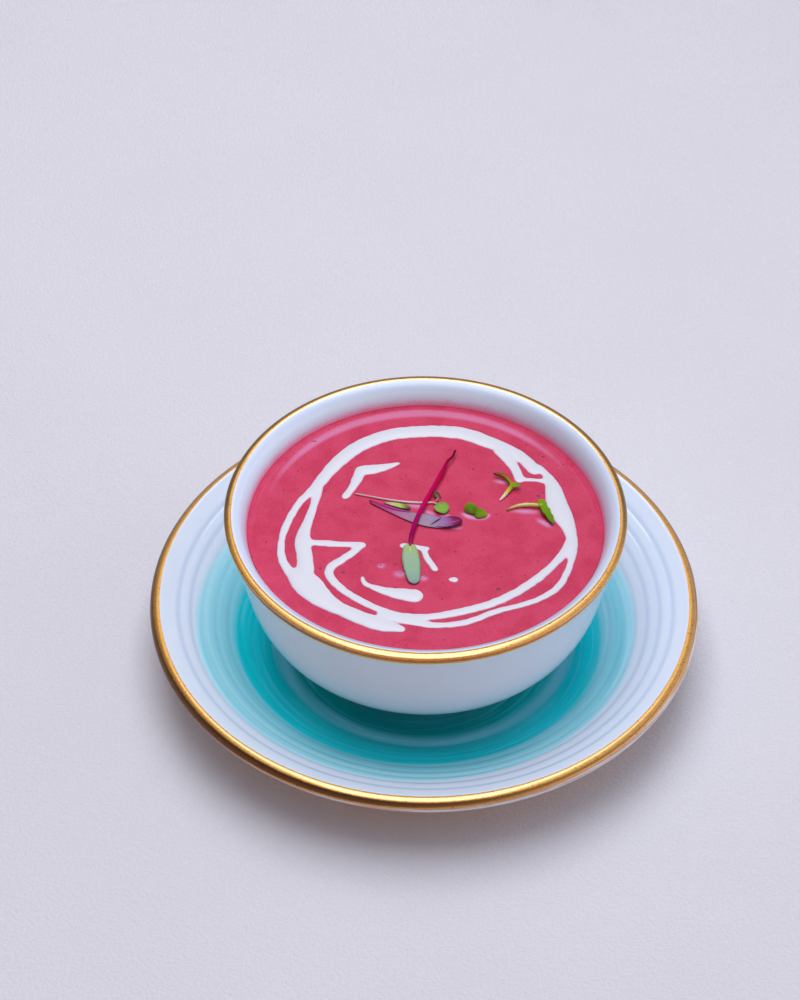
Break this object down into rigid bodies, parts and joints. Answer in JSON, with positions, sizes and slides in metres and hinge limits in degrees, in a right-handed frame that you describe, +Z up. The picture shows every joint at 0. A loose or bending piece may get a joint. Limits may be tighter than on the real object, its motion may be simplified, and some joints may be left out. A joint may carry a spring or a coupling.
{
  "type": "bowl of beet soup",
  "caption": "Round porcelain bowl of pink beet soup with a swirl of cream and sprouts, standing on a matching saucer with a gold rim.",
  "frame": {"origin": "centre of the saucer's foot ring, on the plane it stands on", "axes": "+Z up along the common axis of bowl and saucer, -Y towards the camera, +X to the right"},
  "size_m": [0.16, 0.16, 0.0574],
  "materials": {
    "saucer_glaze": "gloss",
    "bowl_glaze": "gloss",
    "soup": "gloss",
    "cream": "gloss",
    "beet_sprout": "satin",
    "purple_leaf": "satin",
    "pale_sprout": "satin",
    "cress": "satin"
  },
  "bodies": {
    "root": {"saucer": "saucer_glaze", "bowl": "bowl_glaze", "soup": "soup", "cream_swirl": "cream", "cream_hook": "cream", "cream_comma": "cream", "cream_tick": "cream", "cream_dot": "cream", "beet_sprout": "beet_sprout", "purple_leaf": "purple_leaf", "green_leaflet": "cress", "pale_sprout": "pale_sprout", "cress_pair": "cress", "cress_back": "cress", "cress_side": "cress"}
  },
  "joints": []
}
